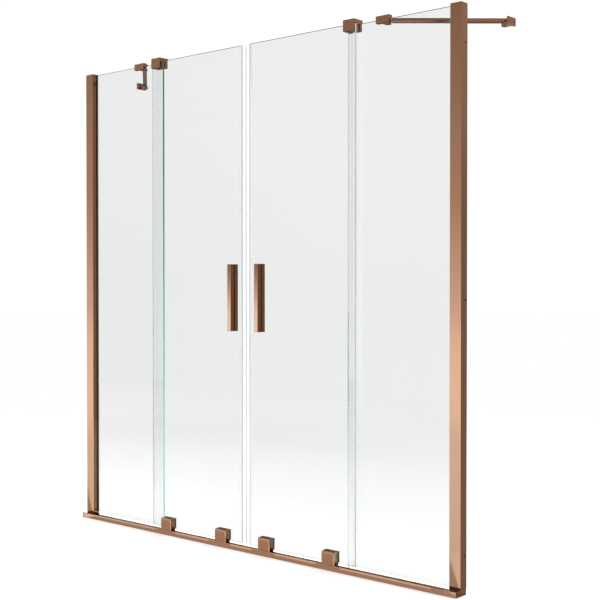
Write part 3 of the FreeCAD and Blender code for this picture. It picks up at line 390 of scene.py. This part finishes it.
# A surface from an array of points, rows by columns by 3: joined round the columns where closed, and with its
# end rows filled by caps
def gridSurface(name, points, closed=False, caps=False):
    rows, cols = points.shape[:2]
    index = np.arange(rows * cols).reshape(rows, cols)
    ends = [index[0, ::-1].tolist(), index[-1].tolist()] if caps else []
    if closed:
        index = np.concatenate([index, index[:, :1]], axis=1)
    corners = [index[:-1, :-1], index[:-1, 1:], index[1:, 1:], index[1:, :-1]]
    quads = np.stack(corners, axis=-1).reshape(-1, 4)
    mesh = bpy.data.meshes.new(name)
    mesh.from_pydata(points.reshape(-1, 3).tolist(), [], quads.tolist() + ends)
    obj = bpy.data.objects.new(name, mesh)
    bpy.context.scene.collection.objects.link(obj)
    return obj


# Bands of the ground edges: a closed profile carried along the free edges of each pane, a hair outside it
edgeBand = {"arris": 0.0005, "proud": 0.00004, "deep": 0.0009}
freeEdges = {
    "fixed_glass_left": ("frame", "bareEdge", ["rightFoot", "rightTop", "leftTop"]),
    "fixed_glass_right": ("frame", "bareEdge", ["rightTop", "leftTop", "leftFoot"]),
    "sliding_glass_left": ("door_left", "sealedEdge", ["rightFoot", "rightTop", "leftTop", "leftFoot"]),
    "sliding_glass_right": ("door_right", "sealedEdge", ["rightFoot", "rightTop", "leftTop", "leftFoot"]),
}


def makeEdgeBand(node, body, look, run):
    # corner (x, z) of the outline moved inwards by the profile's inset, at the profile's y
    low, high = (np.array(corner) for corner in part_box(node))
    arris, proud, deep = edgeBand["arris"], edgeBand["proud"], edgeBand["deep"]
    front, back = low[1], high[1]
    inset = np.array([arris, -proud, -proud, arris, deep, deep])
    level = np.array([front - proud, front + arris, back - arris, back + proud, back - arris, front + arris])
    places = {"leftFoot": (low[0], low[2], 1, 1), "rightFoot": (high[0], low[2], -1, 1),
              "rightTop": (high[0], high[2], -1, -1), "leftTop": (low[0], high[2], 1, -1)}
    corners = np.array([places[name] for name in run])
    flat = corners[:, None, :2] + corners[:, None, 2:] * inset[None, :, None]
    points = np.stack([flat[..., 0], np.broadcast_to(level, flat.shape[:2]), flat[..., 1]], axis=-1)
    band = gridSurface(node.replace("glass", "glass_edge"), points, closed=True, caps=True)
    # the last three of each run of six faces lie inside the pane
    within = np.zeros(len(band.data.polygons), dtype=np.float32)
    within[:6 * (len(run) - 1)].reshape(-1, 6)[:, 3:] = 1.0
    band.data.attributes.new("within", "FLOAT", "FACE").data.foreach_set("value", within)
    band.data.materials.append(finishes[look])
    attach(band, body)


for node, edge in freeEdges.items():
    makeEdgeBand(node, *edge)
print("ground edges on", len(freeEdges), "panes")


# Rays of the camera, rays through glass, rays that glass mirrors and rays that metal sends on
def seenRays(tree):
    rays = addNode(tree, "ShaderNodeLightPath").outputs
    turned = mathNode(tree, "MINIMUM", rays["Glossy Depth"], 1.0)
    mirror = multiply(tree, rays["Is Singular Ray"], turned)
    through = multiply(tree, rays["Is Transmission Ray"], without(tree, turned))
    metal = multiply(tree, rays["Is Glossy Ray"], without(tree, rays["Is Singular Ray"]))
    return rays["Is Camera Ray"], through, mirror, metal


# Floor: near the screen it takes light and shadow, further out it is plain white. Glass mirrors the floor
# before it, less and less further out, and through glass the floor is lifted by its distance behind it
floor = {"rings": (0.0, 1.0, 2.0, 4.0, 10.0, 30.0), "sides": 48, "drop": -0.0006,
         "color": (0.84, 0.84, 0.84, 1), "fade": (2.2, 4.0), "glassFade": (0.2, 3.5),
         "direct": 0.40, "inMetal": 0.2, "inGlass": 0.34,
         "through": [(0.03, 0.40), (0.20, 0.36), (0.42, 0.30), (0.75, 0.20), (1.00, 0.165), (1.30, 0.125),
                     (1.80, 0.07), (2.40, 0.075)]}
# What glass mirrors of the studio, by height
inGlass = [(0.0, 0.12), (0.80, 0.08), (1.80, 0.26), (6.0, 0.30)]


def makeFloor():
    # a disc, point = (r cos a, r sin a, drop)
    turn = np.linspace(0, 2 * math.pi, floor["sides"], endpoint=False)
    radius, angle = np.meshgrid(floor["rings"], turn, indexing="ij")
    level = np.full(radius.shape, floor["drop"])
    points = np.stack([radius * np.cos(angle), radius * np.sin(angle), level], axis=-1)
    disc = gridSurface("floor", points, closed=True)
    material, tree = newTree("paleFloor")
    direct, through, mirror, metal = seenRays(tree)
    place = coordinates(tree)["Object"]
    depth = axes(tree, place)[1]
    lifted = largest(tree, multiply(tree, direct, floor["direct"]), multiply(tree, metal, floor["inMetal"]),
                     multiply(tree, mirror, floor["inGlass"]),
                     multiply(tree, through, steps(tree, depth, greys(floor["through"]))))
    matt = addNode(tree, "ShaderNodeBsdfDiffuse", {"Color": floor["color"]})
    glow = addNode(tree, "ShaderNodeEmission", {"Strength": lifted})
    near = addNode(tree, "ShaderNodeAddShader", {0: matt.outputs[0], 1: glow.outputs[0]})
    plain = largest(tree, direct, through, multiply(tree, metal, 1.0 + floor["inMetal"]),
                    multiply(tree, mirror, inGlass[0][1]))
    white = addNode(tree, "ShaderNodeEmission", {"Strength": plain})
    away = addNode(tree, "ShaderNodeVectorMath", {0: place}, operation="LENGTH").outputs["Value"]
    fade = spread(tree, away, (0.0, 1.0), floor["fade"], "SMOOTHSTEP")
    glassFade = spread(tree, mathNode(tree, "ABSOLUTE", depth), (0.0, 1.0), floor["glassFade"])
    share = mixValue(tree, mirror, fade, glassFade)
    mix = addNode(tree, "ShaderNodeMixShader", {0: share, 1: near.outputs[0], 2: white.outputs[0]})
    showSurface(tree, mix)
    disc.data.materials.append(material)


# Studio walls, softbox, low panel, handle card, flags and floor mats, which only metal reflects. Tones go by
# height in metres, and places are spans in metres
dome = {"radius": 6.0, "hole": 0.01,
        "front": [(0.0, (1.20, 1.20, 1.20)), (0.30, (1.15, 1.12, 1.12)), (0.63, (0.92, 0.86, 0.86)),
                  (1.47, (0.58, 0.49, 0.41)), (1.88, (0.52, 0.44, 0.40)), (2.35, (0.41, 0.35, 0.31)),
                  (3.00, (0.32, 0.265, 0.215)), (6.00, (0.20, 0.165, 0.135))],
        "camera": [(0.0, (0.42, 0.36, 0.31)), (1.50, (0.36, 0.30, 0.26)), (3.00, (0.30, 0.25, 0.205)),
                   (6.00, (0.20, 0.165, 0.135))],
        "back": [(0.0, (0.24, 0.19, 0.16)), (2.00, (0.18, 0.145, 0.12)), (6.00, (0.15, 0.12, 0.10))]}
softbox = {"way": (-0.656, -0.199, 0.753), "far": 3.4, "half": 0.8, "tone": (1.15, 1.08, 1.0)}
lowPanel = {"x": (-4.1, 0.4), "y": (0.95, 2.8), "z": 0.54, "tone": (2.3, 2.5, 2.7)}
handleCard = {"x": (-0.50, -0.21), "y": -0.386, "z": (0.5, 1.0),
              "tones": [(0.50, (1.32, 1.48, 1.62)), (0.69, (1.20, 1.34, 1.48)), (0.75, (0.90, 0.87, 0.94)),
                        (0.80, (0.60, 0.56, 0.57)), (0.86, (0.36, 0.31, 0.30)), (1.00, (0.34, 0.29, 0.28))]}
flagPlace = {"x": 1.0, "z": (0.0, 3.0)}
flags = {
    "flagNear": {"y": (-0.12, 0.86), "tones": [(0.0, (0.26, 0.205, 0.172)), (1.00, (0.26, 0.205, 0.172)),
                                               (1.30, (0.35, 0.285, 0.25)), (1.60, (0.42, 0.31, 0.26)),
                                               (3.0, (0.42, 0.31, 0.26))]},
    "flagMiddle": {"y": (0.86, 1.15), "tones": [(0.0, (0.235, 0.16, 0.12)), (3.0, (0.235, 0.16, 0.12))]},
    "flagFar": {"y": (1.15, 3.0), "tones": [(0.0, (0.30, 0.22, 0.18)), (3.0, (0.30, 0.22, 0.18))]},
}
mats = {
    "matBack": {"x": (-5.0, 5.0), "y": (0.026, 5.0), "z": 0.0008, "tone": (0.26, 0.205, 0.172),
                "hide": "deepInGlass"},
    "matSide": {"x": (0.751, 1.0), "y": (-0.12, 0.026), "z": 0.0008, "tone": (0.19, 0.125, 0.09),
                "hide": "glass"},
    "matLit": {"x": (-1.6, 0.75), "y": (-0.40, -0.026), "z": 0.0004, "tone": (1.02, 1.00, 0.98),
               "hide": "glass"},
    "matCamera": {"x": (1.3, 5.0), "y": (-5.0, -0.3), "z": 0.0008, "tone": (0.42, 0.36, 0.31), "hide": None},
}
# Blocks that shade the floor: left, right, front, back and top
shadows = {"from": (2.67, 2.45, 1.03), "tone": (0.53, 0.45, 0.40), "lift": 0.0008, "rows": 16,
           "blocks": [(-0.685, 0.75, -0.024, 0.024, 0.0125), (-0.75, -0.7155, -0.004, 0.024, 0.75),
                      (0.7155, 0.755, -0.004, 0.024, 0.75)],
           "trolleys": (-0.331, -0.089, 0.089, 0.331), "trolley": (-0.0235, 0.0485, -0.024, -0.0055, 0.061)}
# Past these depths a ray has met a second mirror, which leaves a share of the tone, or a second pane
metalRays = {"oneMirror": 1.5, "onePane": 2.5, "secondMirror": 0.2}


# A sheet is clear to rays that have met no mirror. Where hide is dimInGlass, rays that glass mirrors see dim
# tones. Where it is glass, rays straight from glass pass, and where it is deepInGlass, rays through two panes
def onlyInMetal(obj, tones, hide=None, fromBelow=False):
    material, tree = newTree(obj.name + "Glow")
    level = axes(tree, coordinates(tree)["Object"])[2]
    color = steps(tree, level, tones)
    rays = addNode(tree, "ShaderNodeLightPath").outputs
    seen = mathNode(tree, "MINIMUM", rays["Glossy Depth"], 1.0)
    deep = mathNode(tree, "GREATER_THAN", rays["Transmission Depth"], metalRays["onePane"])
    if hide == "dimInGlass":
        byGlass = multiply(tree, rays["Is Singular Ray"], without(tree, deep))
        color = mixColor(tree, byGlass, color, steps(tree, level, greys(inGlass)))
    if hide == "glass":
        seen = multiply(tree, seen, without(tree, rays["Is Singular Ray"]))
    if hide == "deepInGlass":
        seen = multiply(tree, seen, without(tree, multiply(tree, rays["Is Transmission Ray"], deep)))
    if fromBelow:
        seen = multiply(tree, seen, addNode(tree, "ShaderNodeNewGeometry").outputs["Backfacing"])
    again = mathNode(tree, "GREATER_THAN", rays["Glossy Depth"], metalRays["oneMirror"])
    strength = spread(tree, again, (1.0, metalRays["secondMirror"]))
    glow = addNode(tree, "ShaderNodeEmission", {"Color": color, "Strength": strength})
    clear = addNode(tree, "ShaderNodeBsdfTransparent")
    mix = addNode(tree, "ShaderNodeMixShader", {0: seen, 1: clear.outputs[0], 2: glow.outputs[0]})
    showSurface(tree, mix)
    obj.data.materials.append(material)
    for way in ("camera", "diffuse", "volume_scatter", "shadow"):
        setattr(obj, "visible_" + way, False)


def plainTone(tone):
    return [(0, tone), (1, tone)]


def makeWall(name, start, stop, tones, hide):
    # part of a dome: point = R (cos e cos a, cos e sin a, sin e), from start to stop round and up to the hole
    angle, rise = np.meshgrid(np.linspace(start, stop, 49), np.linspace(0, math.pi / 2 - dome["hole"], 24))
    points = np.stack([np.cos(rise) * np.cos(angle), np.cos(rise) * np.sin(angle), np.sin(rise)], axis=-1)
    onlyInMetal(gridSurface(name, dome["radius"] * points), tones, hide)


def flatSheet(name, x, y, z):
    # a rectangle, point = (x, y, z): two of them are spans, the second of which goes down the rows
    lines = [np.linspace(*span, 8) if isinstance(span, tuple) else [span] for span in (x, y, z)]
    points = np.stack(np.meshgrid(*lines, indexing="ij"), axis=-1).reshape(8, 8, 3)
    return gridSurface(name, points.swapaxes(0, 1))


def makeSoftbox():
    # a square across its direction, point = centre + u side + v up
    way = np.array(softbox["way"])
    side = np.cross(way, (0, 0, 1))
    side /= np.linalg.norm(side)
    u, v = np.meshgrid(np.linspace(-1, 1, 5), np.linspace(-1, 1, 5))
    square = u[..., None] * side + v[..., None] * np.cross(side, way)
    sheet = gridSurface("softbox", way * softbox["far"] + softbox["half"] * square)
    onlyInMetal(sheet, plainTone(softbox["tone"]))


def makeShadow(name, left, right, front, back, top):
    # three corners of a block of height z, each carried from the lamp to the floor:
    # lamp + (corner - lamp) h / (h - z)
    source = np.array(shadows["from"])
    corners = np.array([(left, back), (left, front), (right, front)])
    rise = source[2] / (source[2] - np.linspace(0, top, shadows["rows"]))
    flat = source[:2] + (corners[None] - source[:2]) * rise[:, None, None]
    lift = np.full((shadows["rows"], 3, 1), shadows["lift"])
    sheet = gridSurface(name, np.concatenate([flat, lift], axis=-1))
    onlyInMetal(sheet, plainTone(shadows["tone"]), "glass")


def makeReflections():
    makeWall("studioFront", math.pi, 1.5 * math.pi, dome["front"], "dimInGlass")
    makeWall("studioCamera", 1.5 * math.pi, 2 * math.pi, dome["camera"], "dimInGlass")
    makeWall("studioBack", 0.0, math.pi, dome["back"], "deepInGlass")
    makeSoftbox()
    # the low panel behind the screen shines downwards, for the rail's top
    panel = flatSheet("lowPanel", lowPanel["x"], lowPanel["y"], lowPanel["z"])
    onlyInMetal(panel, plainTone(lowPanel["tone"]), fromBelow=True)
    card = flatSheet("handleCard", handleCard["x"], handleCard["y"], handleCard["z"])
    onlyInMetal(card, handleCard["tones"], "glass")
    for name, look in flags.items():
        onlyInMetal(flatSheet(name, flagPlace["x"], look["y"], flagPlace["z"]), look["tones"], "deepInGlass")
    for name, look in mats.items():
        onlyInMetal(flatSheet(name, look["x"], look["y"], look["z"]), plainTone(look["tone"]), look["hide"])
    left, right, front, back, top = shadows["trolley"]
    blocks = shadows["blocks"] + [(x + left, x + right, front, back, top) for x in shadows["trolleys"]]
    for number, block in enumerate(blocks):
        makeShadow(f"shadow{number}", *block)


# Soft lamp and world: the fill lights the screen, and what is seen of the world is white
lamp = {"place": (1.6, 2.2, 4.6), "aim": (0.0, 0.0, 0.5), "size": 4.5, "power": 80.0}
sky = {"fill": 0.88, "seen": 1.0, "direct": 1.04}


def makeLight():
    light = bpy.data.lights.new("softLamp", "AREA")
    light.shape = "DISK"
    light.size = lamp["size"]
    light.energy = lamp["power"]
    holder = bpy.data.objects.new("softLamp", light)
    holder.location = lamp["place"]
    holder.visible_glossy = False
    aim = np.array(lamp["aim"]) - np.array(lamp["place"])
    tilt = math.acos(-aim[2] / np.linalg.norm(aim))
    holder.rotation_euler = (tilt, 0, math.atan2(aim[1], aim[0]) - math.pi / 2)
    bpy.context.scene.collection.objects.link(holder)


def makeWorld():
    world = bpy.data.worlds.new("studio")
    world.use_nodes = True
    tree = world.node_tree
    tree.nodes.clear()
    direct, through, mirror, metal = seenRays(tree)
    seen = largest(tree, direct, through, mirror, metal)
    strength = spread(tree, direct, (sky["seen"], sky["direct"]))
    fill = addNode(tree, "ShaderNodeBackground", {"Color": (1, 1, 1, 1), "Strength": sky["fill"]})
    white = addNode(tree, "ShaderNodeBackground", {"Color": (1, 1, 1, 1), "Strength": strength})
    mix = addNode(tree, "ShaderNodeMixShader", {0: seen, 1: fill.outputs[0], 2: white.outputs[0]})
    addNode(tree, "ShaderNodeOutputWorld", {"Surface": mix.outputs[0]})
    bpy.context.scene.world = world


# Camera, as fitted to the corners in the photograph
view = {"place": (2.2749, -2.3711, 0.7882), "turn": 0.7166, "dip": 0.0136, "lens": 66.47, "sensor": 36.0,
        "farthest": 200.0}


def makeCamera():
    camera = bpy.data.cameras.new("camera")
    camera.lens = view["lens"]
    camera.sensor_width = view["sensor"]
    camera.clip_end = view["farthest"]
    holder = bpy.data.objects.new("camera", camera)
    holder.location = view["place"]
    holder.rotation_euler = (math.pi / 2 - view["dip"], 0, view["turn"])
    bpy.context.scene.collection.objects.link(holder)
    bpy.context.scene.camera = holder


makeFloor()
makeReflections()
makeLight()
makeWorld()
makeCamera()
bpy.context.scene.view_settings.view_transform = "Standard"
print("studio ready")
